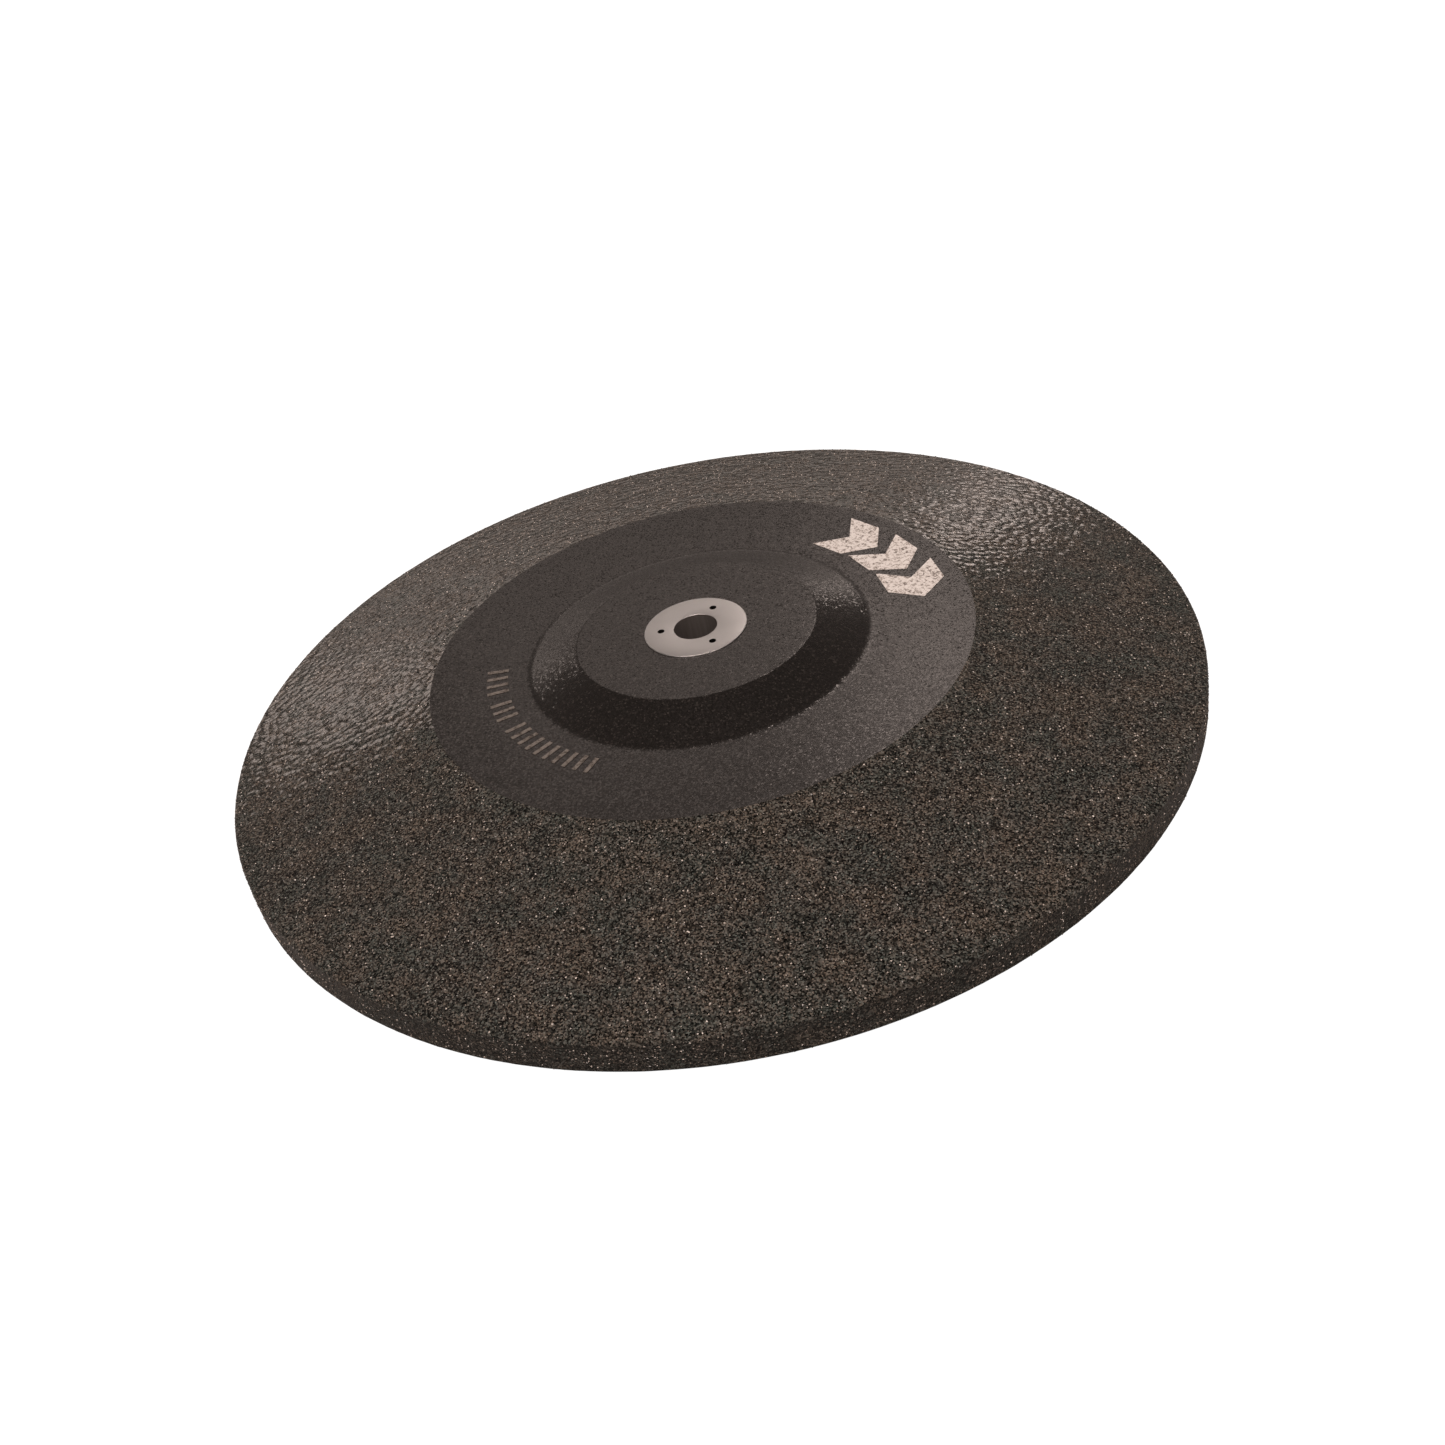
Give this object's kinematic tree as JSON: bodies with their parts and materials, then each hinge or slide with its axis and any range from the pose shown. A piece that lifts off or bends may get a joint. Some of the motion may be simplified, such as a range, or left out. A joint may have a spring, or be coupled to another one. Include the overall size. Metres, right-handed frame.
{
  "type": "saucer grinding wheel",
  "caption": "Dished grinding wheel of resin-bonded grit layers over glass-fibre mesh, with a raised labelled hub and a flanged steel bush at its bore.",
  "frame": {"origin": "centre of the circle that the rim's flat land lies on, on the wheel's axis", "axes": "+Z along the wheel's axis, from the working face towards the raised hub and its label; +X towards the clockwise end of the label's chevrons"},
  "size_m": [0.18, 0.18, 0.0192],
  "materials": {
    "steel": "satin",
    "label_paper": "satin coated",
    "print_foil": "bright hot-stamped foil",
    "outer_grit": "rough, resin bonded",
    "core_grit": "rough, resin bonded",
    "fibre_mesh": "resin-dipped glass yarn"
  },
  "bodies": {
    "root": {"flanged_bush": "steel", "clinch_ring": "steel", "label_disc": "label_paper", "label_print": "print_foil", "back_grit_layer": "outer_grit", "upper_grit_layer": "core_grit", "lower_grit_layer": "core_grit", "face_grit_layer": "outer_grit", "back_mesh_warp": "fibre_mesh", "back_mesh_weft": "fibre_mesh", "middle_mesh_warp": "fibre_mesh", "middle_mesh_weft": "fibre_mesh", "face_mesh_warp": "fibre_mesh", "face_mesh_weft": "fibre_mesh"}
  },
  "joints": []
}
